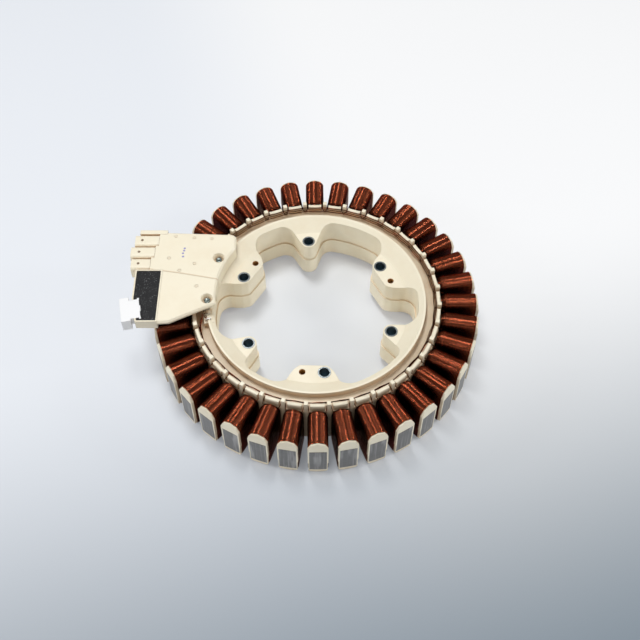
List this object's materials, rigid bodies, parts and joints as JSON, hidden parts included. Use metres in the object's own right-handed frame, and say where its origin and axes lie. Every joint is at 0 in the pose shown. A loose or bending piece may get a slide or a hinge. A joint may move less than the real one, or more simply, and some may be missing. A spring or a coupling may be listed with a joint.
{
  "type": "wound motor stator",
  "caption": "Ring-shaped wound stator for an outer-rotor motor: steel laminations between cream insulators, copper coils, lobed flange and terminal cover.",
  "frame": {"origin": "centre of the mounting-hole circle, on the plane of the mounting seat, which is also the underside of the steel stack", "axes": "+Z along the ring's axis, from the seat towards the dish, crossover wires and terminal cover; the terminal cover and the connectors reach out along -X"},
  "size_m": [0.2888, 0.264, 0.0555],
  "materials": {
    "magnet_wire": "enamelled copper wire, glossy",
    "electrical_steel": "cut edges of laminations, dull grey",
    "cream_moulding": "satin glass-filled thermoplastic, cream",
    "plated_steel": "zinc-plated, satin",
    "tinned_brass": "tin-plated",
    "potting": "dark grey potting compound, faintly speckled",
    "board": "solder mask",
    "white_nylon": "natural nylon"
  },
  "bodies": {
    "root": {"coil_01": "magnet_wire", "coil_02": "magnet_wire", "coil_03": "magnet_wire", "coil_04": "magnet_wire", "coil_05": "magnet_wire", "coil_06": "magnet_wire", "coil_07": "magnet_wire", "coil_08": "magnet_wire", "coil_09": "magnet_wire", "coil_10": "magnet_wire", "coil_11": "magnet_wire", "coil_12": "magnet_wire", "coil_13": "magnet_wire", "coil_14": "magnet_wire", "coil_15": "magnet_wire", "coil_16": "magnet_wire", "coil_17": "magnet_wire", "coil_18": "magnet_wire", "coil_19": "magnet_wire", "coil_20": "magnet_wire", "coil_21": "magnet_wire", "coil_22": "magnet_wire", "coil_23": "magnet_wire", "coil_24": "magnet_wire", "coil_25": "magnet_wire", "coil_26": "magnet_wire", "coil_27": "magnet_wire", "coil_28": "magnet_wire", "coil_29": "magnet_wire", "coil_30": "magnet_wire", "coil_31": "magnet_wire", "coil_32": "magnet_wire", "coil_33": "magnet_wire", "coil_34": "magnet_wire", "coil_35": "magnet_wire", "coil_36": "magnet_wire", "cover_screws": "plated_steel", "crossover_u": "magnet_wire", "crossover_v": "magnet_wire", "crossover_w": "magnet_wire", "insulator_lower": "cream_moulding", "insulator_upper": "cream_moulding", "lamination_core": "electrical_steel", "mounting_bushes": "plated_steel", "phase_terminals": "tinned_brass", "potting": "potting", "power_connector": "cream_moulding", "power_tabs": "tinned_brass", "sensor_board": "board", "sensor_housing": "cream_moulding", "signal_connector": "white_nylon", "signal_pins": "tinned_brass", "terminal_cover": "cream_moulding"}
  },
  "joints": []
}
